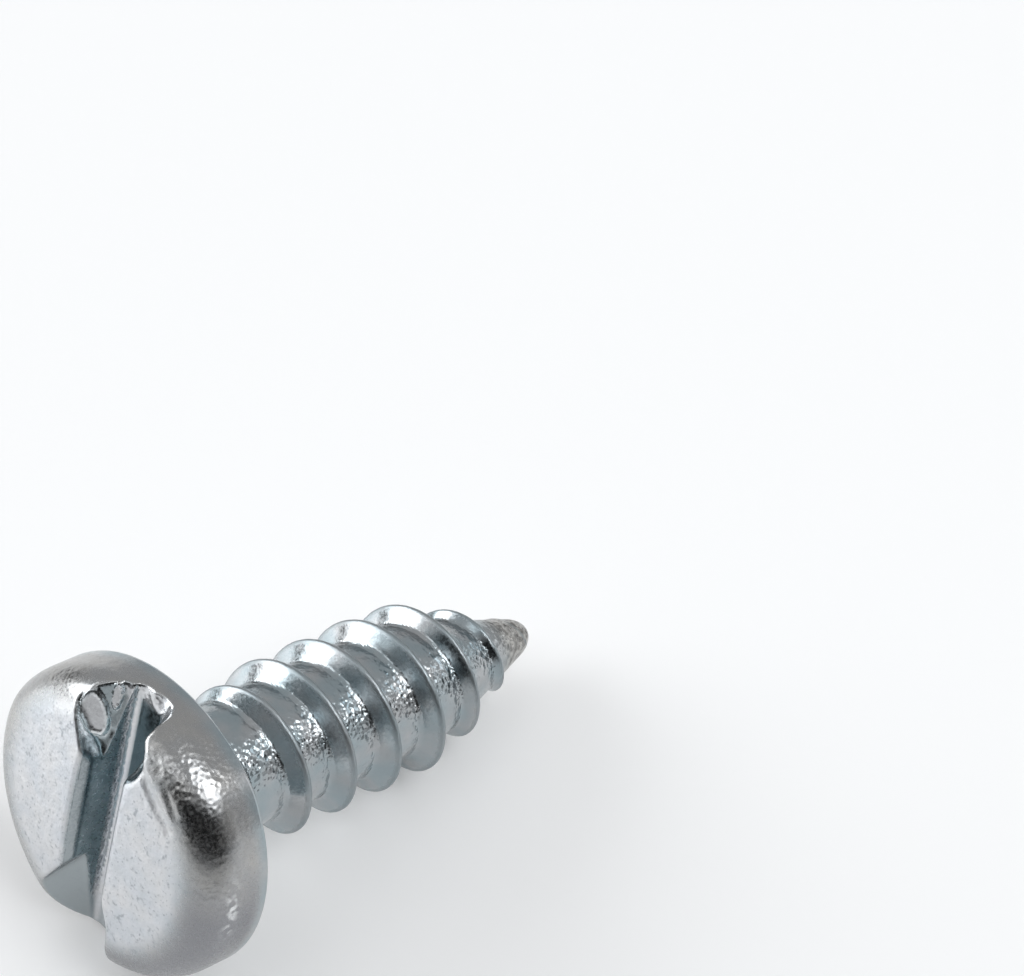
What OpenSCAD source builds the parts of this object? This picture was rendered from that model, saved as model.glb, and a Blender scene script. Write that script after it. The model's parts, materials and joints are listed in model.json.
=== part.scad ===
// Slotted pan head sheet metal screw, ST4.2 thread, cone point. Millimetres, +Z up.
// One piece of steel. It lies at rest on z = 0: the head rim and one thread crest touch the floor,
// the axis runs along +X from the head to the point and dips toward the point.
// Inside, the screw is built along its own axis: bearing face at z = 0, head above, shank below.

/* [Head] */
// Largest diameter of the pan head
head_diameter = 8.0; // [7.6:0.05:8.2]
// Height of the crown above the bearing face
head_height = 2.04; // [1.8:0.01:2.4]
// Radius of the big shoulder between side and crown
shoulder_radius = 1.05; // [0.6:0.01:1.2]
// Radius of the shallow dome on top
dome_radius = 24.3; // [12:0.1:40]
// How far the dome falls from the crown to the shoulder
dome_fall = 0.19; // [0.1:0.01:0.3]
// Rounding where the side meets the bearing face
rim_edge_radius = 0.12; // [0.05:0.01:0.2]
// How much the rim is flattened next to the upper slot end
rim_flat = 0.4; // [0:0.05:0.5]
// Direction of the flattened place, measured from the upper slot end
rim_flat_angle = 16; // [-30:1:30]
// How much higher the shoulder sits at the flattened place
rim_flat_rise = 0.06; // [0:0.01:0.1]

/* [Slot] */
// Slot width at the crown
slot_width_top = 1.54; // [1.2:0.01:1.7]
// Slot width at the floor
slot_width_floor = 1.0; // [0.8:0.01:1.4]
// Slot depth below the crown
slot_depth = 1.34; // [1.0:0.01:1.5]
// Depth of the lip, where the slot's walls lean out to the crown
slot_lip_depth = 0.36; // [0.1:0.01:0.5]
// Lean of the walls below the lip, away from upright
slot_wall_lean = 5; // [0:0.5:10]
// Distance from the axis where the slot begins to flare
flare_start = 1.83; // [1.5:0.01:2.5]
// Plan angle of the flared cheeks
flare_angle = 31; // [0:1:45]
// Height of the flare's lower fold at its inner end, above the bearing face
flare_fold_height = 1.27; // [1:0.01:1.6]
// Slope of the lower fold toward the rim
flare_fold_slope = 13.8; // [0:0.1:20]
// Lean of the flared face away from upright
flare_lean = 49; // [20:1:60]
// Largest half width of the flare
flare_widest = 2.6; // [2:0.1:3]
// How far the leaning face starts outside the slot floor's edge
flare_fold_step = 0.05; // [0:0.01:0.1]
// Plan angle of the steep corner
steep_angle = 23; // [0:1:45]
// Largest half width of the steep corner
steep_widest = 1.06; // [0.8:0.01:1.2]
// Half width of the steep corner's wall at the slot floor, beyond the fold
steep_half_width = 0.59; // [0.5:0.01:0.7]
// Lean of the steep corner's wall away from upright
steep_lean = 20; // [0:1:30]
// Radius of the round hollow in the crown's edge at the upper slot end
edge_scoop_radius = 0.75; // [0.6:0.05:0.8]
// Distance of that hollow's centre from the axis, along the slot
edge_scoop_reach = 2.6; // [2.4:0.05:2.8]
// Distance of that hollow's centre from the slot's middle
edge_scoop_side = 0.33; // [0.2:0.01:0.5]
// Depth of that hollow's centre below the crown
edge_scoop_depth = 0.14; // [0:0.01:0.3]

/* [Shank] */
// Length from the bearing face to the point
length = 11.8; // [11:0.1:14]
// Radius of the shank between the threads
root_radius = 1.55; // [1.47:0.01:1.6]
// Radius of the small neck fillet under the head
neck_fillet = 0.2; // [0:0.01:0.3]
// Depth at which the shank starts to taper
taper_depth = 8.0; // [7:0.1:9]

/* [Thread] */
// Pitch of the ST4.2 thread
pitch = 1.41; // [1.3:0.01:1.5]
// Largest crest radius
crest_radius = 2.05; // [2.0:0.01:2.11]
// Depth of the crest on the floor side at turn zero
crest_depth = 1.93; // [1:0.01:3]
// Width of the narrow flat on the crest
crest_flat = 0.1; // [0.04:0.01:0.15]
// Half width of the thread at its foot
foot_half_width = 0.5; // [0.35:0.01:0.6]
// Flat facets around the shank
sides = 40; // [32:4:64]

/* [Hidden] */
$fn = 96;
head_radius = head_diameter / 2;
shoulder_centre = head_radius - shoulder_radius;
shoulder_height = head_height - dome_fall - shoulder_radius;
slot_floor = head_height - slot_depth;
turns = 7;
full_height = crest_radius - root_radius;

// resting pose: the rim edge and the crest of turn four stand on the floor
rest_a = head_radius - rim_edge_radius - crest_radius;
rest_b = crest_depth + 4 * pitch + crest_flat / 2 + rim_edge_radius;
rest_reach = sqrt(rest_a * rest_a + rest_b * rest_b);
dip = acos(-rim_edge_radius / rest_reach) - atan2(rest_b, rest_a);
lift = (head_radius - rim_edge_radius) * cos(dip) - rim_edge_radius * sin(dip) + rim_edge_radius;
// the slot cuts through the shoulder's rearmost place, so the shoulder beside it reaches furthest
beside_slot_angle = 19;
beside_slot = cos(beside_slot_angle);
back_reach = shoulder_centre * beside_slot * sin(dip) + shoulder_height * cos(dip)
    + shoulder_radius * norm([beside_slot * sin(dip), cos(dip)]);
front_reach = length * cos(dip);
shift = (back_reach - front_reach) / 2;

// root radius at a depth below the bearing face: straight, then a cone
root_points = [
    [taper_depth, root_radius],
    [length - 1.2, 0.71],
    [length - 0.8, 0.58],
    [length - 0.4, 0.37]
];
// crest radius along the turns, from the run-in under the head to the point
crest_points = [
    [-1.0, root_radius],
    [0.16, root_radius],
    [0.52, crest_radius],
    [4.22, crest_radius],
    [4.7, 1.77],
    [5.3, 1.41],
    [5.9, 0.98],
    [6.2, 0.75],
    [6.4, 0.62],
    [6.6, 0.45],
    [9.0, 0.3]
];

function root_at(depth) = lookup(depth, root_points);
function crest_at(turn) = lookup(turn, crest_points);
function depth_at(turn) = crest_depth + pitch * turn;

// rows of the thread section: [offset along the axis as a share of the half width, share of height]
rows = [
    [-1, 0],
    [-0.62, 0.12],
    [-crest_flat / 2 / foot_half_width, 1],
    [crest_flat / 2 / foot_half_width, 1],
    [0.62, 0.12],
    [1, 0]
];
row_count = len(rows);
first_turn = (neck_fillet + 0.06 + foot_half_width - crest_depth) / pitch;

function height_at(turn) = max(0, crest_at(turn) - root_at(depth_at(turn)));
function width_at(turn) = foot_half_width * (0.4 + 0.6 * min(1, height_at(turn) / full_height));
function thread_depth(turn, row) = depth_at(turn) + rows[row][0] * width_at(turn);
function thread_radius(turn, row) =
    root_at(thread_depth(turn, row)) + rows[row][1] * height_at(turn);
function ring_point(column, radius, depth) =
    let (angle = 360 * (first_turn + column / sides))
    [-radius * cos(angle), radius * sin(angle), -depth];
function thread_point(column, turn, row) =
    ring_point(column, thread_radius(turn, row), thread_depth(turn, row));

// rings above the thread rows (inside the head, neck) and below them (the rounded point)
upper_rings = [
    [root_radius + neck_fillet, -0.4],
    [root_radius + neck_fillet, 0.02],
    [root_radius + 0.3 * neck_fillet, 0.3 * neck_fillet + 0.02],
    [root_radius, neck_fillet + 0.02]
];
lower_rings = [
    [0.35, length - 0.38],
    [0.25, length - 0.17],
    [0.13, length - 0.04]
];
up_count = len(upper_rings);
low_count = len(lower_rings);
column_size = up_count + turns * row_count + low_count;

shank_points = [
    for (column = [0 : sides - 1])
        for (index = [0 : column_size - 1])
            index < up_count
                ? ring_point(column, upper_rings[index][0], upper_rings[index][1])
                : index < up_count + turns * row_count
                    ? thread_point(
                        column,
                        first_turn + floor((index - up_count) / row_count) + column / sides,
                        (index - up_count) % row_count
                    )
                    : ring_point(
                        column,
                        lower_rings[index - up_count - turns * row_count][0],
                        lower_rings[index - up_count - turns * row_count][1]
                    ),
    [0, 0, 0.4],
    [0, 0, -length]
];
top_centre = sides * column_size;
point_centre = top_centre + 1;
function at(column, index) = (column % sides) * column_size + index;
thread_end = up_count + turns * row_count;

shank_faces = concat(
    // side faces between neighbouring columns
    [
        for (column = [0 : sides - 2])
            for (index = [0 : column_size - 2])
                for (half = [0, 1])
                    half == 0
                        ? [at(column, index), at(column, index + 1), at(column + 1, index)]
                        : [at(column, index + 1), at(column + 1, index + 1), at(column + 1, index)]
    ],
    // the seam: the last column joins the first one turn further down
    [
        for (index = [up_count : thread_end - row_count - 2])
            for (half = [0, 1])
                half == 0
                    ? [at(sides - 1, index), at(sides - 1, index + 1), at(0, index + row_count)]
                    : [at(sides - 1, index + 1), at(0, index + row_count + 1), at(0, index + row_count)]
    ],
    [
        for (index = [0 : up_count - 2])
            for (half = [0, 1])
                half == 0
                    ? [at(sides - 1, index), at(sides - 1, index + 1), at(0, index)]
                    : [at(sides - 1, index + 1), at(0, index + 1), at(0, index)]
    ],
    [
        for (index = [thread_end : column_size - 2])
            for (half = [0, 1])
                half == 0
                    ? [at(sides - 1, index), at(sides - 1, index + 1), at(0, index)]
                    : [at(sides - 1, index + 1), at(0, index + 1), at(0, index)]
    ],
    // fan above the first turn
    [[at(sides - 1, up_count - 1), at(sides - 1, up_count), at(0, up_count - 1)]],
    [
        for (index = [up_count - 1 : up_count + row_count - 1])
            [at(sides - 1, up_count), at(0, index + 1), at(0, index)]
    ],
    // fan below the last turn
    [
        for (index = [thread_end - row_count - 1 : thread_end - 2])
            [at(sides - 1, index), at(sides - 1, index + 1), at(0, thread_end - 1)]
    ],
    [[at(sides - 1, thread_end - 1), at(sides - 1, thread_end), at(0, thread_end - 1)]],
    [[at(sides - 1, thread_end), at(0, thread_end), at(0, thread_end - 1)]],
    // closing fans inside the head and at the point
    [for (column = [0 : sides - 1]) [top_centre, at(column, 0), at(column + 1, 0)]],
    [
        for (column = [0 : sides - 1])
            [point_centre, at(column + 1, column_size - 1), at(column, column_size - 1)]
    ]
);

// shank and thread, one closed surface
module shank() {
    polyhedron(points = shank_points, faces = shank_faces, convexity = 8);
}

// half section of the pan head: bearing face, rounded edge, side, shoulder and dome
module head_section() {
    intersection() {
        translate([0, head_height - dome_radius]) circle(r = dome_radius);
        square([head_radius, head_height]);
        union() {
            square([head_radius - rim_edge_radius, shoulder_height]);
            translate([0, rim_edge_radius]) square([head_radius, shoulder_height - rim_edge_radius]);
            translate([head_radius - rim_edge_radius, rim_edge_radius]) circle(r = rim_edge_radius);
            square([shoulder_centre, head_height]);
            translate([shoulder_centre, shoulder_height]) circle(r = shoulder_radius);
        }
    }
}

// wider body, set off the axis: its edge leaves the rim flattened on one side
module flattening() {
    offset_distance = 1.0;
    wide_radius = head_radius + offset_distance - rim_flat;
    wide_centre = wide_radius - shoulder_radius;
    edge_height = shoulder_height + rim_flat_rise;
    tall = head_height + 2;
    rotate([0, 0, rim_flat_angle])
        translate([-offset_distance, 0, 0])
            rotate_extrude() {
                translate([0, -1]) square([wide_centre, tall]);
                translate([0, rim_edge_radius]) square([wide_radius, edge_height - rim_edge_radius]);
                translate([0, -1]) square([wide_radius - rim_edge_radius, edge_height + 1]);
                translate([wide_radius - rim_edge_radius, rim_edge_radius]) circle(r = rim_edge_radius);
                intersection() {
                    translate([wide_centre, edge_height]) circle(r = shoulder_radius);
                    square([wide_radius, tall]);
                }
            }
}

// straight part of the slot: steep walls, then a lip that leans out to the crown
module slot_channel() {
    floor_half = slot_width_floor / 2;
    lip_half = floor_half + (slot_depth - slot_lip_depth) * tan(slot_wall_lean);
    lip_height = head_height - slot_lip_depth;
    rise = slot_lip_depth + 1;
    wide_half = lip_half + (slot_width_top / 2 - lip_half) * rise / slot_lip_depth;
    rotate([90, 0, 90])
        linear_extrude(height = 2 * head_radius + 2, center = true)
            polygon([
                [-floor_half, slot_floor],
                [floor_half, slot_floor],
                [lip_half, lip_height],
                [wide_half, lip_height + rise],
                [-wide_half, lip_height + rise],
                [-lip_half, lip_height]
            ]);
}

// prism over a flared plan, from the slot's middle out past the rim
module flare_plan(angle, widest) {
    inner = flare_start - 0.6;
    outer = head_radius + 1.2;
    half = slot_width_top / 2;
    wide_from = flare_start + (widest - half) / tan(angle);
    linear_extrude(height = 4)
        polygon([
            [inner, 0],
            [outer, 0],
            [outer, widest],
            [wide_from, widest],
            [inner, half - (flare_start - inner) * tan(angle)]
        ]);
}

// prism along the slot, wider toward the crown
module flare_channel(half_width, lean) {
    tall = 3;
    rotate([90, 0, 90])
        linear_extrude(height = 2 * head_radius + 1, center = true)
            polygon([
                [0, 0],
                [half_width, 0],
                [half_width + tall * tan(lean), tall],
                [0, tall]
            ]);
}

// wide flared corner: an upright face opening in plan, and a leaning face over a sloping fold
module leaning_corner() {
    intersection() {
        flare_plan(flare_angle, flare_widest);
        translate([flare_start, 0, flare_fold_height])
            rotate([0, flare_fold_slope, 0])
                flare_channel(slot_width_floor / 2 + flare_fold_step, flare_lean);
    }
}

// narrow flared corner with a steep wall
module steep_corner() {
    intersection() {
        flare_plan(steep_angle, steep_widest);
        translate([0, 0, slot_floor]) flare_channel(steep_half_width, steep_lean);
    }
}

module slot() {
    slot_channel();
    leaning_corner();
    mirror([1, 0, 0]) leaning_corner();
    rotate([0, 0, 180]) steep_corner();
    translate([edge_scoop_reach, -edge_scoop_side, head_height - edge_scoop_depth])
        sphere(r = edge_scoop_radius);
}

module head() {
    difference() {
        intersection() {
            rotate_extrude() head_section();
            flattening();
        }
        slot();
    }
}

module screw() {
    color([0.66, 0.68, 0.70])
        translate([shift, 0, lift])
            rotate([0, dip - 90, 0]) {
                head();
                shank();
            }
}

screw();
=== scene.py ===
"""Looks of the slotted sheet metal screw: one zinc-plated piece, modelled as a smooth rolled form.

One solid field, negative inside the metal, describes the screw in a millimetre frame of its own:
x runs along the slot toward its upper end, y across the slot and z out of the head, and the
bearing face is z = 0. The field is meshed, placed by the record's drive_slot mount, and replaces
the faceted CAD node.
"""

import json
import math

import bpy
import numpy as np
from mathutils import Matrix, Vector


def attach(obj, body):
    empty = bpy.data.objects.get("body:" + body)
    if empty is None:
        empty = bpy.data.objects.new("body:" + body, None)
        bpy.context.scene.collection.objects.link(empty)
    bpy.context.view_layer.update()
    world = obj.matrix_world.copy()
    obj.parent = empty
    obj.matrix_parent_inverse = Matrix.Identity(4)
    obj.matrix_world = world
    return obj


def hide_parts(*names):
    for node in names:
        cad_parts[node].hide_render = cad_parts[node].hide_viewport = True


MM = 0.001

# Lengths below are millimetres and angles are degrees. A blend is the width over which two faces
# run into each other.

# head
HEAD_RADIUS = 3.996
HEAD_HEIGHT = 2.04
SHOULDER_RADIUS = 1.05
DOME_RADIUS = 24.3
RIM_EDGE_RADIUS = 0.12
# flattened stretch of rim: depth, direction, and how far its arc's centre lies behind the axis
RIM_FLAT = 0.4
RIM_FLAT_ANGLE = 16.0
RIM_FLAT_SHIFT = 1.0
RIM_FLAT_BLEND = 0.08

# slot's channel: steep walls below a lip that leans out
SLOT_FLOOR = 0.70
SLOT_HALF_TOP = 0.77
SLOT_HALF_FLOOR = 0.50
SLOT_WALL_LEAN = 5.0
SLOT_LIP_LEAN = 27.0
SLOT_LIP_BLEND = 0.03
FOOT_ROUNDING = 0.26
# the floor rolls off toward the upper end by this times the square of the distance from the start
FLOOR_ROLL_START = 3.15
FLOOR_ROLL = 0.25
# rounding of the slot's edges: crisp on the +y side, rolled on the other, and where it changes
CRISP_EDGE = 0.09
ROLLED_EDGE = 0.17
ROLLED_FROM = (0.2, 0.6)

# wide corners: an upright face opening in plan, and a leaning face over a sloping fold
FLARE_START = 1.83
FLARE_ANGLE = 31.0
FLARE_LEAN = 49.0
FOLD_HEIGHT = 1.27
FOLD_SLOPE = 13.8
FOLD_HALF_WIDTH = 0.55
WIDE_FACE_BLEND = 0.1
WIDE_CORNER_BLEND = 0.06

# narrow corner with a steep wall
STEEP_HALF_WIDTH = 0.59
STEEP_LEAN = 20.0
STEEP_ANGLE = 23.0
STEEP_WIDEST = 1.06
STEEP_WALL_BLEND = 0.12
STEEP_END_BLEND = 0.2
STEEP_FLOOR_BLEND = 0.1
STEEP_CORNER_BLEND = 0.1

# hollow pressed out of the crown's edge: a scoop, and a rod along which it runs out at the rim
SCOOP_CENTRE = (2.68, -0.32, 1.92)
SCOOP_RADIUS = 0.75
SCOOP_BLEND = 0.12
SCOOP_RUNOUT = ((3.20, -0.30, 1.70), (3.60, -0.28, 1.05), 0.46)
RUNOUT_BLEND = 0.1

# smooth pads left standing on the upper leaning face: place, turn, half length and half width
CHEEK_PADS = (
    (2.60, 1.00, 23.0, 0.56, 0.19),
    (3.12, 0.75, 8.0, 0.34, 0.08),
)
PAD_EDGE = (0.8, 1.25)
PAD_HEIGHT = 0.06
PAD_RIM = 0.035
PAD_FACE_START = (1.0, 1.8)
# notch below them: start, end and radius
CHEEK_NOTCH = ((1.93, 0.55, 1.52), (2.25, 0.50, 1.36), 0.20)
NOTCH_BLEND = 0.05

# folded seams where the crown was pressed over the shoulder: start, end and radius
CROWN_SEAMS = (
    ((2.72, -1.16, 2.12), (1.80, -2.34, 2.14), 0.30),
    ((3.46, -1.10, 1.73), (2.92, -1.78, 1.995), 0.25),
    ((2.92, -1.78, 1.995), (2.30, -2.42, 2.02), 0.25),
)
SEAM_BLEND = 0.05

# shank
ROOT_RADIUS = 1.55
NECK_FILLET = 0.25
SHANK_TOP = 0.4
SHANK_TOP_BLEND = 0.1
TAPER_DEPTH = 8.0
TAPER_SLOPE = 0.323
TAPER_BLEND = 0.25
TIP_PLANE = 11.84
TIP_ROUNDING = 0.6

# thread: where it is lower than its full height, its foot narrows down to a faded share of the
# width; a flank falls steadily from the crest, in shares of the foot's half width
PITCH = 1.41
CREST_DEPTH = 1.93
FULL_HEIGHT = 0.50
FOOT_HALF_WIDTH = 0.50
FADED_WIDTH = 0.4
FLANK_STEEPNESS = 1.692
FLANK_FOOT = 0.691
ROOT_FILLET = 0.2
CREST_ROUNDING = 0.13
# the crest's radius at these turns of the thread, counted from the head
CREST_TURNS = (0.16, 0.52, 4.22, 4.7, 5.3, 5.9, 6.2, 6.4, 6.6, 7.0)
CREST_RADII = (1.55, 2.05, 2.05, 1.77, 1.41, 0.98, 0.75, 0.62, 0.45, 0.20)

# mesh: the sampled box, its cells, and how the vertices settle on the exact surface
GRID_LOW = (-4.2, -4.2, -12.0)
GRID_SIZE = (8.4, 8.4, 14.3)
CELL = 0.062
SETTLE_ROUNDS = 6
EVENING_ROUNDS = 3
EVENING_SHARE = 0.35
LEAST_SLOPE = 0.05
GRADIENT_STEP = 0.004

# Zones of the material. A pair holds the values between which a share rises from 0 to 1, or falls.

# cut faces: depth below the skin of the unslotted head, and z
CUT_DEPTH = (0.03, 0.1)
CUT_HEIGHT = (0.3, 0.6)
# z of the normal on upright and on level faces
UPRIGHT_NORMAL = (0.2, 0.4)
LEVEL_NORMAL = (0.90, 0.98)
# slot: side of its channel, top and side of its foot, and distance of its two ends
CHANNEL_SIDE = (0.62, 0.68)
FOOT_TOP = (SLOT_FLOOR + 0.20, SLOT_FLOOR + 0.30)
FOOT_SIDE = (0.47, 0.55)
NEAR_END = (2.9, 3.3)
# share of the painted highlight on the slot's foot at the near end
NEAR_END_HIGHLIGHT = 0.3
UPPER_END = (3.05, 3.3)
# upper leaning face: x and y
CHEEK_START = (1.5, 1.9)
CHEEK_SIDE = (0.5, 0.7)
# crown: radius and z, then z on the shoulder
CROWN_EDGE = (2.7, 3.6)
CROWN_HEIGHT = (1.0, 1.3)
SHOULDER_HEIGHT = (0.1, 0.5)
# painted shade on the shoulder's -y stretch, standing in for a darker reflection: direction round the axis,
# toward -y
SHADED_SIDE_TURN = (68.0, 95.0)
# shank and point: depth below the bearing face
SHANK_START = (0.1, 0.3)
TIP_START = (10.0, 10.8)
# share of the thread's height at its root and at its crest
ROOT_SHARE = (0.0, 0.18)
CREST_SHARE = (0.75, 0.97)
# grainy band along the root: direction round the axis and half width
GRAINY_SIDE = 224.0
GRAINY_SPREAD = 24.0
# painted shade line along the slot's walls, in the crease where the lip meets them: height and fade
WALL_LINE_HEIGHT = 1.68
WALL_LINE_FADE = (0.02, 0.06)
# painted shade line along the lower fold's inner edge: y, height over the fold, half width and start
FOLD_LINE_SIDE = 0.53
FOLD_LINE_HEIGHT = -0.02
FOLD_LINE_WIDTH = 0.05
FOLD_LINE_START = (2.2, 2.8)
# painted highlight streak on the shoulder: x, half length, z and half height
STREAK_HIGHLIGHT = (0.35, 0.65, 1.05, 0.14)
# mottled places on the shoulder: x, y and radius
PEBBLED_PLACES = (
    (3.1, -2.1, 0.95),
    (2.3, 2.4, 0.8),
    (0.5, -3.95, 0.45),
)

# names of the zones: the mesh carries them and the material reads them
ZONE_NAMES = (
    "crown",
    "shoulder",
    "shaded_side",
    "streak_highlight",
    "pebbled",
    "cut",
    "slot",
    "slot_floor",
    "slot_foot_highlight",
    "cheek",
    "pad",
    "pad_rim_highlight",
    "seam",
    "root",
    "grainy",
    "crest",
    "tip",
)

# colours of the steel, linear; the first five pairs are the two ends of mottled colours
STEEL_BLUE = (0.35, 0.41, 0.435, 1)
STEEL_GREY = (0.44, 0.455, 0.465, 1)
PALE_BLUE = (0.60, 0.62, 0.65, 1)
PALE_GREY = (0.65, 0.655, 0.665, 1)
WARM_DARK = (0.38, 0.385, 0.39, 1)
WARM_LIGHT = (0.42, 0.415, 0.405, 1)
WORN_DARK = (0.22, 0.215, 0.205, 1)
WORN_LIGHT = (0.46, 0.45, 0.43, 1)
TEAL_DARK = (0.34, 0.43, 0.46, 1)
TEAL_LIGHT = (0.42, 0.50, 0.53, 1)
# painted shade: darker colour of the shoulder's -y stretch, standing in for a darker reflection
SHADED_SIDE_COLOUR = (0.252, 0.255, 0.268, 1)
CUT_COLOUR = (0.34, 0.375, 0.39, 1)
CHEEK_COLOUR = (0.36, 0.41, 0.43, 1)
# painted reflection: the pads' light grey, lighter than the cheek around them
PAD_REFLECTION_COLOUR = (0.60, 0.61, 0.625, 1)
# painted highlight: near-white colour on the pads' rolled edges
PAD_RIM_HIGHLIGHT_COLOUR = (0.86, 0.89, 0.90, 1)
# painted highlight: pale streak on the shoulder's -y side
STREAK_HIGHLIGHT_COLOUR = (0.70, 0.71, 0.72, 1)
# painted shade: darker colour on the thread's crests, a dark outline along them
CREST_SHADE_COLOUR = (0.27, 0.305, 0.32, 1)
# painted shade: near-black colour on the slot's level floor, down in the recess
SLOT_FLOOR_SHADE_COLOUR = (0.17, 0.215, 0.235, 1)
# painted shade: dark lines in the slot's creases
CREASE_SHADE_COLOUR = (0.12, 0.16, 0.18, 1)
PIT_COLOUR = (0.22, 0.24, 0.27, 1)
# how strongly some of them cover what is below
PAD_RIM_HIGHLIGHT_COVER = 0.8
CREST_SHADE_COVER = 0.6
CREASE_SHADE_COVER = 0.75
CLOUD_COVER = 0.22

# noises: scale per millimetre, detail and roughness
SWELL = (2.2, 1.0, 0.4)
GRAIN = (6.0, 0.5, 0.4)
FINE = (16.0, 0.0, 0.5)
TINT = (1.3, 2.0, 0.5)
CLOUD = (3.2, 3.0, 0.6)
SPOTS = (6.5, 2.0, 0.6)
SPECKS = (13.0, 1.0, 0.5)
PEBBLE_SCALE = 7.5
PEBBLE_SMOOTHNESS = 0.5
# noise values between which a mottled colour, the painted highlight streak, a spot and a speck come in
MOTTLED = (0.35, 0.65)
STREAK_HIGHLIGHT_NOISE = (0.46, 0.6)
SPOTTED = (0.58, 0.72)
SPECKLED = (0.64, 0.76)

# weights: the plain steel's level, then what each zone adds to it
PITTED = (0.12, {"crown": 0.45})
ROUGHNESS = (0.21, {"crown": 0.14, "slot": 0.1, "shoulder": 0.04, "crest": 0.22})
ROUGHNESS_SPREAD = (0.3, 0.7, -0.05, 0.05)
GRAIN_BUMP = (0.1, {"root": 0.2, "grainy": 0.5, "tip": 1.0, "crown": 0.28, "shoulder": 0.05})
PEBBLE_BUMP = (0.0, {"root": 0.12, "grainy": 1.35, "pebbled": 0.55, "tip": 0.9, "slot_foot_highlight": 0.4})
FINE_BUMP = (0.03, {"root": 0.12, "crown": 0.15})
SWELL_BUMP = (0.3, {"root": 0.8, "tip": 1.2, "shoulder": 0.1})
BUMP_HEIGHT = 0.03

# room: azimuth and width, lowest and highest elevation and softness in degrees, then the strength
# that a white panel adds or the share that a dark one takes away
ROOM_TINT = (0.97, 0.985, 1, 1)
ROOM_LEVEL = 0.55
WHITE_PANELS = (
    (124, 48, 10, 38, 6, 4.6),
    (163, 24, 8, 38, 10, 0.5),
    (-178, 34, 48, 62, 8, 1.6),
    (-70, 66, 40, 72, 12, 3.9),
    (-27, 16, 6, 27, 6, 1.0),
)
DARK_PANELS = (
    (-136, 104, -4, 48, 22, 0.98),
    (104, 50, -8, 9, 4, 0.95),
    (-172, 44, -16, 22, 14, 0.6),
    (-74, 34, -4, 30, 14, 0.45),
)

# floor: half its width in metres, its sheet and the glow that keeps it white in view
FLOOR_HALF = 2.0
FLOOR_COLOUR = (0.84, 0.84, 0.84, 1)
FLOOR_SHEEN = (1, 1, 1, 1)
FLOOR_ROUGHNESS = 0.3
FLOOR_IOR = 1.45
FLOOR_GLOW = 0.13

# camera: focal length and film width in millimetres, place and target in the row frame, and roll
LENS = 157.05
FILM_WIDTH = 36
CAMERA_PLACE = (-41.194, -52.441, 84.986)
CAMERA_TARGET = (9.242, 3.080, 2.0)
CAMERA_ROLL = 0.905
CAMERA_RANGE = (0.005, 10)


# ---------------------------------------------------------------- shape


def smooth_max(a, b, blend):
    """The larger of two fields, with the edge between them rounded over about blend."""
    overlap = np.maximum(blend - np.abs(a - b), 0)
    return np.maximum(a, b) + overlap * overlap / (4 * blend)


def smooth_min(a, b, blend):
    """The smaller of two fields, with the edge between them filled over about blend."""
    return -smooth_max(-a, -b, blend)


def rounded_corner(p, q, radius):
    """Distance to a corner of that radius, whose centre is at p = 0, q = 0."""
    outside = np.hypot(np.maximum(p, 0), np.maximum(q, 0))
    return outside + np.minimum(np.maximum(p, q), 0) - radius


def rod(x, y, z, start, end, radius):
    """Distance to a round rod from start to end."""
    along = np.array(end) - np.array(start)
    rel = (x - start[0], y - start[1], z - start[2])
    share = np.clip(sum(a * b for a, b in zip(rel, along)) / (along @ along), 0, 1)
    return np.sqrt(sum((a - share * b) ** 2 for a, b in zip(rel, along))) - radius


def smooth_step(value, low, high):
    """0 below low, 1 above high, and a smooth rise between."""
    t = np.clip((value - low) / (high - low), 0, 1)
    return t * t * (3 - 2 * t)


def fade_out(value, low, high):
    """1 below low, 0 above high, and a smooth fall between."""
    return 1 - smooth_step(value, low, high)


def tan_of(angle):
    return math.tan(math.radians(angle))


def cos_of(angle):
    return math.cos(math.radians(angle))


def head_field(x, y, z):
    """Pan head before it is slotted: dome, round shoulder, small lower edge, a flattened stretch of rim."""
    r = np.hypot(x, y)
    centre_circle = HEAD_RADIUS - SHOULDER_RADIUS
    from_flat = np.arctan2(y, x) - math.radians(RIM_FLAT_ANGLE)
    arc_radius = centre_circle - RIM_FLAT + RIM_FLAT_SHIFT
    aside, ahead = RIM_FLAT_SHIFT * np.sin(from_flat), RIM_FLAT_SHIFT * np.cos(from_flat)
    flattened = np.sqrt(arc_radius**2 - aside**2) - ahead
    centre_radius = smooth_min(np.full_like(r, centre_circle), flattened, RIM_FLAT_BLEND)
    to_dome_centre = DOME_RADIUS - SHOULDER_RADIUS
    centre_height = np.sqrt(to_dome_centre**2 - centre_radius**2) - DOME_RADIUS + HEAD_HEIGHT
    p = r - centre_radius
    q = z - centre_height
    on_shoulder = p > q * centre_radius / to_dome_centre
    shoulder = np.hypot(p, np.maximum(q, 0)) - SHOULDER_RADIUS
    dome = np.sqrt(r * r + (z - HEAD_HEIGHT + DOME_RADIUS) ** 2) - DOME_RADIUS
    rim = centre_radius + SHOULDER_RADIUS
    edge = rounded_corner(r - rim + RIM_EDGE_RADIUS, RIM_EDGE_RADIUS - z, RIM_EDGE_RADIUS)
    return np.maximum(np.where(on_shoulder, shoulder, dome), edge)


def pad_share(x, y):
    """1 on the pads of the upper leaning face, 0 around them, with rolled edges between."""
    share = np.zeros_like(x)
    for place_x, place_y, turn, half_length, half_width in CHEEK_PADS:
        c = math.cos(math.radians(turn))
        s = math.sin(math.radians(turn))
        along = (c * (x - place_x) + s * (y - place_y)) / half_length
        across = (c * (y - place_y) - s * (x - place_x)) / half_width
        share = np.maximum(share, fade_out(np.hypot(along, across), *PAD_EDGE))
    return share


def height_over_fold(reach, z):
    """How far a point lies above the sloping fold of a wide corner."""
    return z - FOLD_HEIGHT + (reach - FLARE_START) * tan_of(FOLD_SLOPE)


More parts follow.
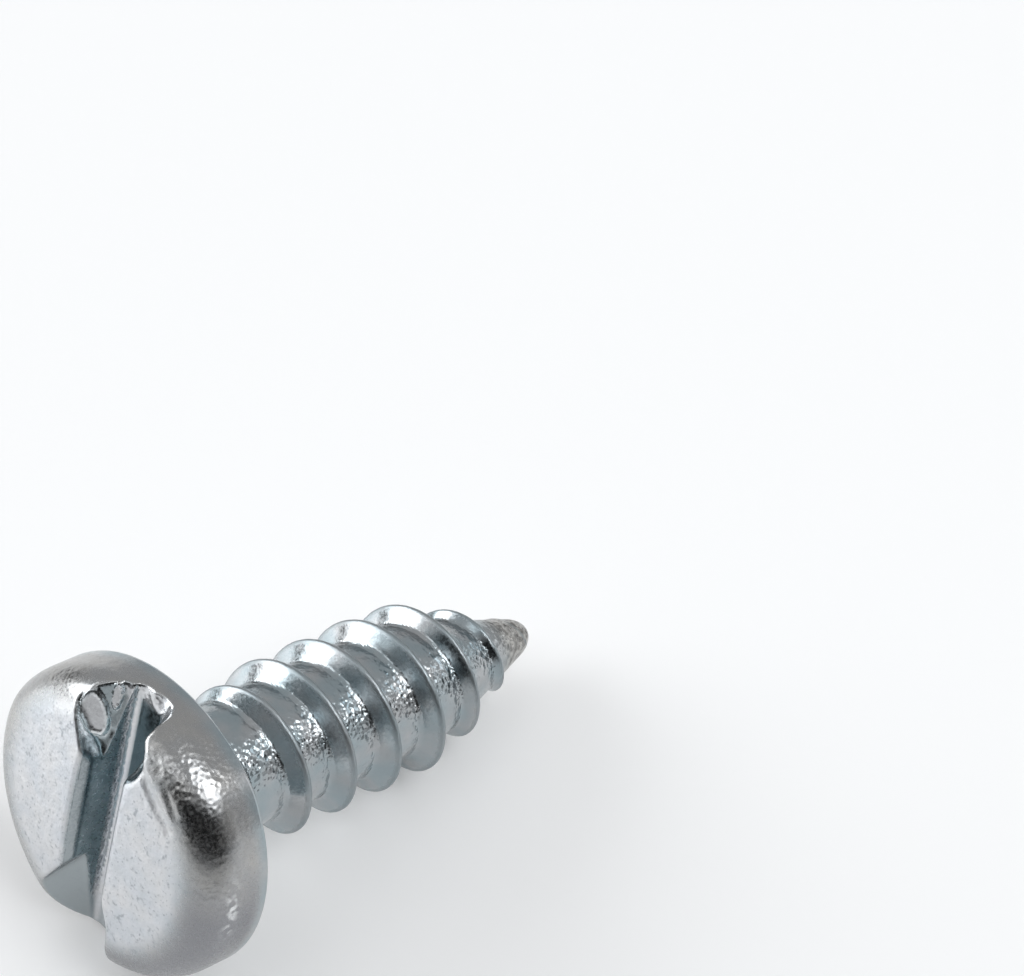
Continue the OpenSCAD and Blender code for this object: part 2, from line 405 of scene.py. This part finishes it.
def leaning_corner(x, y, z):
    """Wide flared corner: an upright face opening in plan, and a leaning face over a sloping fold."""
    reach = np.abs(x)
    above_fold = height_over_fold(reach, z)
    plan = (y - SLOT_HALF_TOP - (reach - FLARE_START) * tan_of(FLARE_ANGLE)) * cos_of(FLARE_ANGLE)
    leaning = (y - FOLD_HALF_WIDTH - above_fold * tan_of(FLARE_LEAN)) * cos_of(FLARE_LEAN)
    pad = pad_share(x, y)
    sunk = PAD_HEIGHT * (1 - pad) - PAD_RIM * 4 * pad * (1 - pad)
    leaning = leaning - sunk * smooth_step(x, *PAD_FACE_START)
    corner = smooth_max(plan, leaning, WIDE_FACE_BLEND)
    corner = smooth_max(corner, -above_fold, WIDE_FACE_BLEND)
    return np.maximum(corner, -y)


def steep_corner(reach, y, z):
    """Narrow flared corner with a steep wall."""
    plan = (y - SLOT_HALF_TOP - (reach - FLARE_START) * tan_of(STEEP_ANGLE)) * cos_of(STEEP_ANGLE)
    wall = (y - STEEP_HALF_WIDTH - (z - SLOT_FLOOR) * tan_of(STEEP_LEAN)) * cos_of(STEEP_LEAN)
    corner = smooth_max(plan, wall, STEEP_WALL_BLEND)
    corner = smooth_max(corner, y - STEEP_WIDEST, STEEP_END_BLEND)
    corner = smooth_max(corner, SLOT_FLOOR - z, STEEP_FLOOR_BLEND)
    return np.maximum(corner, -y)


def slot_field(x, y, z):
    """The empty space of the slot: drafted channel, two wide corners, a steep one, a scoop and a notch."""
    half = np.abs(y)
    wall = (half - SLOT_HALF_FLOOR - (z - SLOT_FLOOR) * tan_of(SLOT_WALL_LEAN)) * cos_of(SLOT_WALL_LEAN)
    lip = (half - SLOT_HALF_TOP - (z - HEAD_HEIGHT) * tan_of(SLOT_LIP_LEAN)) * cos_of(SLOT_LIP_LEAN)
    floor = SLOT_FLOOR - FLOOR_ROLL * np.maximum(x - FLOOR_ROLL_START, 0) ** 2
    channel = smooth_max(smooth_min(wall, lip, SLOT_LIP_BLEND), floor - z, FOOT_ROUNDING)
    cx, cy, cz = SCOOP_CENTRE
    scoop = np.sqrt((x - cx) ** 2 + (y - cy) ** 2 + (z - cz) ** 2) - SCOOP_RADIUS
    space = smooth_min(channel, leaning_corner(x, y, z), WIDE_CORNER_BLEND)
    space = smooth_min(space, steep_corner(-x, -y, z), STEEP_CORNER_BLEND)
    space = smooth_min(space, scoop, SCOOP_BLEND)
    space = smooth_min(space, rod(x, y, z, *SCOOP_RUNOUT), RUNOUT_BLEND)
    return smooth_min(space, rod(x, y, z, *CHEEK_NOTCH), NOTCH_BLEND)


def root_radius_at(depth):
    """Radius of the shank between the threads, at a depth below the bearing face."""
    cone = ROOT_RADIUS - TAPER_SLOPE * (depth - TAPER_DEPTH)
    return smooth_min(np.full_like(depth, ROOT_RADIUS), cone, TAPER_BLEND)


def thread_profile(x, y, z):
    """(root radius, thread height, share of that height) at each point."""
    depth = -z
    angle = np.arctan2(y, -x) / (2 * math.pi) % 1.0
    place = (depth - CREST_DEPTH) / PITCH - angle
    nearest = np.rint(place)
    turn = nearest + angle
    offset = np.abs(place - nearest) * PITCH
    crest = np.interp(turn, CREST_TURNS, CREST_RADII)
    height = np.maximum(crest - root_radius_at(CREST_DEPTH + PITCH * turn), 0)
    fullness = np.minimum(1, height / FULL_HEIGHT)
    half_width = FOOT_HALF_WIDTH * (FADED_WIDTH + (1 - FADED_WIDTH) * fullness)
    flank = FLANK_STEEPNESS * (FLANK_FOOT - offset / half_width)
    share = smooth_max(flank, np.zeros_like(flank), ROOT_FILLET)
    share = smooth_min(share, np.ones_like(flank), CREST_ROUNDING)
    return root_radius_at(depth), height, share


def shank_field(x, y, z):
    """Threaded shank with its blunt point."""
    root, height, share = thread_profile(x, y, z)
    side = np.hypot(x, y) - root - height * share
    return smooth_max(side, -z - TIP_PLANE, TIP_ROUNDING)


def screw_field(x, y, z):
    """The whole screw: slotted head with its folded seams, filleted to the shank."""
    head = head_field(x, y, z)
    for seam in CROWN_SEAMS:
        head = smooth_max(head, -rod(x, y, z, *seam), SEAM_BLEND)
    rounding = CRISP_EDGE + (ROLLED_EDGE - CRISP_EDGE) * smooth_step(-y, *ROLLED_FROM)
    head = smooth_max(head, -slot_field(x, y, z), rounding)
    shank = smooth_max(shank_field(x, y, z), z - SHANK_TOP, SHANK_TOP_BLEND)
    return smooth_min(head, shank, NECK_FILLET)


def field_gradient(points):
    """Field and gradient at points, one row each."""
    x, y, z = points.T
    gradient = np.empty_like(points)
    for axis in range(3):
        shifted = [x, y, z]
        shifted[axis] = points[:, axis] + GRADIENT_STEP
        ahead = screw_field(*shifted)
        shifted[axis] = points[:, axis] - GRADIENT_STEP
        gradient[:, axis] = (ahead - screw_field(*shifted)) / (2 * GRADIENT_STEP)
    return screw_field(x, y, z), gradient


def sample_field(low, count):
    """The field on a grid, evaluated slab by slab to keep memory small."""
    xs, ys, zs = (low[a] + CELL * np.arange(count[a]) for a in range(3))
    grid = np.empty(count, np.float32)
    for k, height in enumerate(zs):
        x, y = np.meshgrid(xs, ys, indexing="ij")
        grid[:, :, k] = screw_field(x, y, np.full_like(x, height))
    return grid


def surface_net(grid, low):
    """Closed quad mesh of the grid's zero surface: a vertex per crossed cell, a quad per crossed edge."""
    inside = grid < 0
    corners = [(i, j, k) for i in (0, 1) for j in (0, 1) for k in (0, 1)]
    size = [n - 1 for n in grid.shape]

    def corner(array, i, j, k):
        return array[i : i + size[0], j : j + size[1], k : k + size[2]]

    corners_inside = sum(corner(inside, *c).astype(np.int8) for c in corners)
    cells = np.argwhere((corners_inside > 0) & (corners_inside < len(corners)))
    values = np.stack(
        [grid[cells[:, 0] + i, cells[:, 1] + j, cells[:, 2] + k] for i, j, k in corners], 1
    ).astype(float)
    total = np.zeros((len(cells), 3))
    crossings = np.zeros(len(cells))
    for a, first in enumerate(corners):
        for b, second in enumerate(corners):
            if a < b and sum(abs(p - q) for p, q in zip(first, second)) == 1:
                crossed = (values[:, a] < 0) != (values[:, b] < 0)
                drop = np.where(crossed, values[:, a] - values[:, b], 1)
                share = np.where(crossed, values[:, a] / drop, 0)
                place = np.array(first) + share[:, None] * (np.array(second) - np.array(first))
                total += place * crossed[:, None]
                crossings += crossed
    points = np.array(low) + CELL * (cells + total / crossings[:, None])
    index = np.full(size, -1, np.int32)
    index[tuple(cells.T)] = np.arange(len(cells))
    quads = []
    for axis in range(3):
        after = np.roll(inside, -1, axis)
        crossed = inside != after
        edge = [slice(1, n - 1) for n in grid.shape]
        found = np.argwhere(crossed[tuple(edge)]) + 1
        outward = inside[tuple(found.T)]
        u, v = [(1, 2), (2, 0), (0, 1)][axis]
        around = []
        for du, dv in ((-1, -1), (0, -1), (0, 0), (-1, 0)):
            cell = found.copy()
            cell[:, u] += du
            cell[:, v] += dv
            around.append(index[tuple(cell.T)])
        ring = np.stack(around, 1)
        ring[~outward] = ring[~outward][:, ::-1]
        quads.append(ring)
    return points, np.concatenate(quads)


def settle_on_surface(points, quads):
    """Moves the vertices onto the exact surface, evening out their spacing on the way."""
    edges = np.concatenate([quads[:, [a, (a + 1) % 4]] for a in range(4)])
    degree = np.bincount(edges.ravel(), minlength=len(points))[:, None]
    for round_number in range(SETTLE_ROUNDS):
        if round_number < EVENING_ROUNDS:
            total = np.zeros_like(points)
            for axis in range(3):
                for here, there in (edges.T, edges.T[::-1]):
                    total[:, axis] += np.bincount(here, points[there, axis], len(points))
            points = points + EVENING_SHARE * (total / degree - points)
        value, gradient = field_gradient(points)
        slope = np.maximum((gradient**2).sum(1), LEAST_SLOPE)
        move = np.clip(value / slope, -CELL / 2, CELL / 2)
        points = points - gradient * move[:, None]
    return points


# ---------------------------------------------------------------- pieces


def screw_axes(record):
    """Matrix from the screw's millimetre frame to the row frame, from the drive_slot mount."""
    mount = next(m for m in record["mounts"] if m["name"] == "drive_slot")
    out = Vector(mount["axis"]).normalized()
    across = Vector((0, 1, 0))
    along = across.cross(out)
    floor_middle = Vector(mount["pos_m"])
    matrix = Matrix((along, across, out)).transposed().to_4x4()
    matrix.translation = floor_middle - out * SLOT_FLOOR * MM
    return matrix


def build_screw(matrix):
    """The screw's mesh, in metres in the row frame, with exact normals and the material's zones."""
    count = [int(round(length / CELL)) + 1 for length in GRID_SIZE]
    points, quads = surface_net(sample_field(GRID_LOW, count), GRID_LOW)
    points = settle_on_surface(points, quads)
    _, gradient = field_gradient(points)
    normals = gradient / np.maximum(np.linalg.norm(gradient, axis=1, keepdims=True), 1e-9)
    turn = np.array(matrix.to_3x3())
    world = points * MM @ turn.T + np.array(matrix.translation)
    mesh = bpy.data.meshes.new("screw_form")
    mesh.from_pydata(world.tolist(), [], quads.tolist())
    mesh.polygons.foreach_set("use_smooth", [True] * len(quads))
    mesh.update()
    mesh.validate()
    mesh.normals_split_custom_set_from_vertices((normals @ turn.T).tolist())
    add_zones(mesh, points, normals)
    screw = bpy.data.objects.new("screw_form", mesh)
    bpy.context.scene.collection.objects.link(screw)
    print("screw mesh:", len(points), "vertices,", 2 * len(quads), "triangles")
    return screw


def zone_shares(points, normals):
    """Share of each zone of the material at the vertices, 0 to 1, by the zone's name."""
    x, y, z = points.T
    cut = smooth_step(-head_field(x, y, z), *CUT_DEPTH) * smooth_step(z, *CUT_HEIGHT)
    upright = fade_out(normals[:, 2], *UPRIGHT_NORMAL)
    level = smooth_step(normals[:, 2], *LEVEL_NORMAL)
    near_end = smooth_step(-x, *NEAR_END)
    upper_end = smooth_step(x, *UPPER_END)
    foot = cut * fade_out(z, *FOOT_TOP)
    # painted highlight on the slot's foot: its rising faces, the upper end, and a share at the near end
    foot_highlight = np.maximum(np.maximum(1 - level, upper_end), NEAR_END_HIGHLIGHT * near_end)
    # painted shade lines in the slot's creases: where the lip meets the walls, and along the lower fold's
    # inner edge
    wall_line = fade_out(np.abs(z - WALL_LINE_HEIGHT), *WALL_LINE_FADE) * (np.abs(x) < FLARE_START)
    off_line = np.hypot(height_over_fold(-x, z) - FOLD_LINE_HEIGHT, y - FOLD_LINE_SIDE)
    fold_line = np.exp(-((off_line / FOLD_LINE_WIDTH) ** 2)) * smooth_step(-x, *FOLD_LINE_START)
    cheek = cut * smooth_step(x, *CHEEK_START) * smooth_step(y, *CHEEK_SIDE)
    pad = pad_share(x, y)
    crown = fade_out(np.hypot(x, y), *CROWN_EDGE) * (1 - cut) * smooth_step(z, *CROWN_HEIGHT)
    shoulder = smooth_step(z, *SHOULDER_HEIGHT) * (1 - cut) * (1 - crown)
    # painted highlight streak on the shoulder's -y side
    streak_x, streak_length, streak_z, streak_height = STREAK_HIGHLIGHT
    streak_highlight = np.exp(-(((x - streak_x) / streak_length) ** 2) - ((z - streak_z) / streak_height) ** 2)
    pebbled = sum(
        np.exp(-((x - px) ** 2 + (y - py) ** 2) / radius**2) for px, py, radius in PEBBLED_PLACES
    )
    thread = thread_profile(x, y, z)[2]
    on_shank = smooth_step(-z, *SHANK_START)
    root = on_shank * fade_out(thread, *ROOT_SHARE)
    around_shank = np.degrees(np.arctan2(y, -x)) % 360
    return {
        "crown": crown,
        "shoulder": shoulder,
        "cut": cut,
        "slot": cut * upright * fade_out(np.abs(y), *CHANNEL_SIDE) * (1 - near_end) * (1 - foot),
        # painted shade on the slot's level floor
        "slot_floor": foot * level * (1 - upper_end) * (1 - near_end),
        # painted highlight on the slot's foot
        "slot_foot_highlight": foot * foot_highlight * (1 - near_end * smooth_step(y, *FOOT_SIDE)),
        "cheek": cheek,
        # painted reflection: the pads are coloured lighter than the cheek around them
        "pad": cheek * pad,
        # painted highlight on the pads' rolled edges
        "pad_rim_highlight": cheek * 4 * pad * (1 - pad),
        # painted highlight streak on the shoulder
        "streak_highlight": streak_highlight * shoulder * (y < 0),
        # painted shade on the shoulder's -y stretch
        "shaded_side": shoulder * smooth_step(-np.degrees(np.arctan2(y, x)), *SHADED_SIDE_TURN),
        # painted shade lines in the slot's creases
        "seam": cut * np.maximum(wall_line, fold_line),
        "pebbled": shoulder * pebbled,
        "tip": on_shank * smooth_step(-z, *TIP_START),
        "root": root,
        "grainy": root * np.exp(-(((around_shank - GRAINY_SIDE) / GRAINY_SPREAD) ** 2)),
        # the crest zone roughens the crests and carries their painted shade
        "crest": on_shank * smooth_step(thread, *CREST_SHARE),
    }


def add_zones(mesh, points, normals):
    """Stores the zones' shares as the attributes that the material reads."""
    for name, share in zone_shares(points, normals).items():
        attribute = mesh.attributes.new(name, "FLOAT", "POINT")
        attribute.data.foreach_set("value", share.astype(np.float32))


# ---------------------------------------------------------------- materials


class Nodes:
    """Short calls for building a node tree."""

    def __init__(self, tree):
        self.tree = tree
        tree.nodes.clear()

    def link(self, value, socket):
        """Links a socket's value, or sets a plain one."""
        if isinstance(value, bpy.types.NodeSocket):
            self.tree.links.new(value, socket)
        else:
            socket.default_value = value

    def add(self, kind, inputs=None, **settings):
        """A node with its settings, and inputs that are values or other nodes' sockets."""
        node = self.tree.nodes.new(kind)
        for name, value in settings.items():
            setattr(node, name, value)
        for name, value in (inputs or {}).items():
            self.link(value, node.inputs[name])
        return node

    def math(self, operation, a, b=0.0):
        return self.add("ShaderNodeMath", {0: a, 1: b}, operation=operation).outputs[0]

    def noise(self, vector, scale, detail, roughness):
        node = self.add(
            "ShaderNodeTexNoise",
            {"Vector": vector, "Scale": scale, "Detail": detail, "Roughness": roughness},
        )
        return node.outputs["Fac"]

    def remap(self, value, low, high, to_low=0.0, to_high=1.0):
        """The value's place between low and high, as a place between to_low and to_high."""
        node = self.add(
            "ShaderNodeMapRange",
            {
                "Value": value,
                "From Min": low,
                "From Max": high,
                "To Min": to_low,
                "To Max": to_high,
            },
            clamp=True,
        )
        return node.outputs["Result"]

    def mix_colour(self, factor, a, b):
        """Colour a, covered by colour b as far as the factor says."""
        node = self.add("ShaderNodeMix", {"Factor": factor, 6: a, 7: b}, data_type="RGBA")
        return node.outputs[2]

    def zone(self, name):
        return self.add("ShaderNodeAttribute", attribute_name=name).outputs["Fac"]

    def surface(self, kind, shader):
        """Ends the tree in an output of that kind."""
        self.tree.links.new(shader, self.add(kind).inputs["Surface"])


def zinc_material(matrix):
    """Bright zinc plating, tinted and textured by the zones that the mesh carries; some zones paint
    highlights, a reflection and shade into the colour.
    """
    material = bpy.data.materials.new("zinc_plated_steel")
    material.use_nodes = True
    n = Nodes(material.node_tree)
    position = n.add("ShaderNodeTexCoord").outputs["Object"]
    place = n.add("ShaderNodeMapping", {"Vector": position}, vector_type="TEXTURE")
    place.inputs["Location"].default_value = matrix.translation
    place.inputs["Rotation"].default_value = matrix.to_euler()
    place.inputs["Scale"].default_value = (MM, MM, MM)
    local = place.outputs["Vector"]
    zones = {name: n.zone(name) for name in ZONE_NAMES}

    def times(a, b):
        return n.math("MULTIPLY", a, b)

    def weighted(weights):
        """A plain level, plus each named zone times its weight."""
        total, zone_weights = weights
        for name, weight in zone_weights.items():
            total = n.math("ADD", times(zones[name], weight), total)
        return total

    swell = n.noise(local, *SWELL)
    grain = n.noise(local, *GRAIN)
    fine = n.noise(local, *FINE)
    pebbles = n.add(
        "ShaderNodeTexVoronoi",
        {"Vector": local, "Scale": PEBBLE_SCALE, "Smoothness": PEBBLE_SMOOTHNESS},
        feature="SMOOTH_F1",
    ).outputs["Distance"]
    tint = n.remap(n.noise(local, *TINT), *MOTTLED)
    mottle = n.remap(grain, *MOTTLED)
    cloud = n.remap(n.noise(local, *CLOUD), *MOTTLED)
    spots = n.remap(n.noise(local, *SPOTS), *SPOTTED)
    specks = n.remap(n.noise(local, *SPECKS), *SPECKLED)

    steel = n.mix_colour(tint, STEEL_BLUE, STEEL_GREY)
    pale = n.mix_colour(tint, PALE_BLUE, PALE_GREY)
    colour = steel
    for cover, paint in (
        (zones["crown"], pale),
        (zones["shoulder"], n.mix_colour(tint, WARM_DARK, WARM_LIGHT)),
        # painted shade on the shoulder's -y stretch
        (zones["shaded_side"], SHADED_SIDE_COLOUR),
        (zones["tip"], n.mix_colour(mottle, WORN_DARK, WORN_LIGHT)),
        (zones["cut"], CUT_COLOUR),
        (zones["cheek"], CHEEK_COLOUR),
        # painted reflection: the pads are coloured lighter than the cheek around them
        (zones["pad"], PAD_REFLECTION_COLOUR),
        # painted highlight on the pads' rolled edges
        (times(zones["pad_rim_highlight"], PAD_RIM_HIGHLIGHT_COVER), PAD_RIM_HIGHLIGHT_COLOUR),
        # painted highlight streak on the shoulder, broken up by the grain
        (times(zones["streak_highlight"], n.remap(grain, *STREAK_HIGHLIGHT_NOISE)), STREAK_HIGHLIGHT_COLOUR),
        # painted shade along the thread's crests, a dark outline
        (times(zones["crest"], CREST_SHADE_COVER), CREST_SHADE_COLOUR),
        (zones["slot"], n.mix_colour(mottle, TEAL_DARK, TEAL_LIGHT)),
        # painted shade on the slot's level floor
        (zones["slot_floor"], SLOT_FLOOR_SHADE_COLOUR),
        # painted highlight: the slot's foot takes the pale crown colour
        (zones["slot_foot_highlight"], pale),
        # painted shade lines in the slot's creases
        (times(zones["seam"], CREASE_SHADE_COVER), CREASE_SHADE_COLOUR),
        (times(cloud, times(zones["crown"], CLOUD_COVER)), steel),
        (times(n.math("MAXIMUM", spots, specks), weighted(PITTED)), PIT_COLOUR),
    ):
        colour = n.mix_colour(cover, colour, paint)

    rough = n.math("ADD", n.remap(fine, *ROUGHNESS_SPREAD), weighted(ROUGHNESS))
    height = times(grain, weighted(GRAIN_BUMP))
    for pattern, weights in ((pebbles, PEBBLE_BUMP), (fine, FINE_BUMP), (swell, SWELL_BUMP)):
        height = n.math("ADD", height, times(pattern, weighted(weights)))
    bump = n.add("ShaderNodeBump", {"Height": height, "Strength": 1.0, "Distance": BUMP_HEIGHT * MM})
    shader = n.add(
        "ShaderNodeBsdfPrincipled",
        {"Base Color": colour, "Roughness": rough, "Metallic": 1.0, "Normal": bump.outputs["Normal"]},
    )
    n.surface("ShaderNodeOutputMaterial", shader.outputs["BSDF"])
    return material


# ---------------------------------------------------------------- studio


def build_floor():
    """Plain pale floor, white in view and in reflections, that keeps the screw's shadow."""
    half = FLOOR_HALF
    corners = [(-half, -half, 0), (half, -half, 0), (half, half, 0), (-half, half, 0)]
    mesh = bpy.data.meshes.new("floor")
    mesh.from_pydata(corners, [], [(0, 1, 2, 3)])
    floor = bpy.data.objects.new("floor", mesh)
    bpy.context.scene.collection.objects.link(floor)
    material = bpy.data.materials.new("floor_white")
    material.use_nodes = True
    n = Nodes(material.node_tree)
    path = n.add("ShaderNodeLightPath")
    seen = n.math("MAXIMUM", path.outputs["Is Camera Ray"], path.outputs["Is Glossy Ray"])
    seen = n.math("MAXIMUM", seen, path.outputs["Is Transmission Ray"])
    diffuse = n.add("ShaderNodeBsdfDiffuse", {"Color": FLOOR_COLOUR})
    sheen = n.add("ShaderNodeBsdfGlossy", {"Color": FLOOR_SHEEN, "Roughness": FLOOR_ROUGHNESS})
    edge_on = n.add("ShaderNodeFresnel", {"IOR": FLOOR_IOR}).outputs[0]
    sheet = n.add("ShaderNodeMixShader", {0: edge_on, 1: diffuse.outputs[0], 2: sheen.outputs[0]})
    glow = n.add("ShaderNodeEmission", {"Strength": n.math("MULTIPLY", seen, FLOOR_GLOW)})
    both = n.add("ShaderNodeAddShader", {0: sheet.outputs[0], 1: glow.outputs[0]})
    n.surface("ShaderNodeOutputMaterial", both.outputs[0])
    mesh.materials.append(material)


def build_world():
    """Studio surroundings: an even room with soft white panels and dark ones."""
    world = bpy.data.worlds.new("studio")
    bpy.context.scene.world = world
    world.use_nodes = True
    n = Nodes(world.node_tree)
    way = n.add("ShaderNodeTexCoord").outputs["Generated"]
    elevation = n.math("ARCSINE", n.add("ShaderNodeSeparateXYZ", {"Vector": way}).outputs[2])

    def window(angle, low, high, soft):
        """1 between low and high degrees, with edges that fade over soft degrees."""
        low, high, half_soft = math.radians(low), math.radians(high), math.radians(soft / 2)
        rise = n.remap(angle, low - half_soft, low + half_soft)
        fall = n.remap(angle, high + half_soft, high - half_soft)
        return n.math("MULTIPLY", rise, fall)

    def panel(azimuth, width, low, high, soft):
        """1 on a panel of the room, 0 around it."""
        turned = n.add(
            "ShaderNodeVectorRotate",
            {"Vector": way, "Angle": -math.radians(azimuth)},
            rotation_type="Z_AXIS",
        )
        parts = n.add("ShaderNodeSeparateXYZ", {"Vector": turned.outputs[0]})
        across = n.math("ARCTAN2", parts.outputs[1], parts.outputs[0])
        beside = window(across, -width / 2, width / 2, soft)
        return n.math("MULTIPLY", beside, window(elevation, low, high, soft))

    level = ROOM_LEVEL
    for *place, strength in WHITE_PANELS:
        glow = n.math("MULTIPLY", panel(*place), strength)
        level = n.math("ADD", glow, level)
    for *place, share in DARK_PANELS:
        shade = n.math("MULTIPLY", panel(*place), share)
        level = n.math("MULTIPLY", n.math("SUBTRACT", 1.0, shade), level)
    room = n.add("ShaderNodeBackground", {"Color": ROOM_TINT, "Strength": level})
    n.surface("ShaderNodeOutputWorld", room.outputs[0])


def build_camera():
    """Looks down on the head from its slotted side, with a long lens."""
    data = bpy.data.cameras.new("camera")
    data.lens = LENS
    data.sensor_width = FILM_WIDTH
    data.clip_start, data.clip_end = CAMERA_RANGE
    camera = bpy.data.objects.new("camera", data)
    bpy.context.scene.collection.objects.link(camera)
    place = Vector(CAMERA_PLACE) * MM
    target = Vector(CAMERA_TARGET) * MM
    look = (target - place).to_track_quat("-Z", "Y").to_matrix().to_4x4()
    roll = Matrix.Rotation(math.radians(CAMERA_ROLL), 4, "Z")
    camera.matrix_world = Matrix.Translation(place) @ look @ roll
    bpy.context.scene.camera = camera


# ---------------------------------------------------------------- scene

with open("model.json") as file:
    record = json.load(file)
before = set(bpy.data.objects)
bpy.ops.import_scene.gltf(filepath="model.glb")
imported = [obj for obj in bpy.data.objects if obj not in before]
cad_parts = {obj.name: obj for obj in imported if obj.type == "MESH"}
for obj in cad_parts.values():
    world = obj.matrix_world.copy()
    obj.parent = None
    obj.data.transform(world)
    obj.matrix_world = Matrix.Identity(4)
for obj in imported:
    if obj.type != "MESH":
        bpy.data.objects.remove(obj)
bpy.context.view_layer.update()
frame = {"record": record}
axes = screw_axes(frame["record"])
screw = build_screw(axes)
screw.data.materials.append(zinc_material(axes))
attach(screw, "root")
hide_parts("screw")
build_floor()
build_world()
build_camera()
bpy.context.scene.view_settings.view_transform = "Standard"
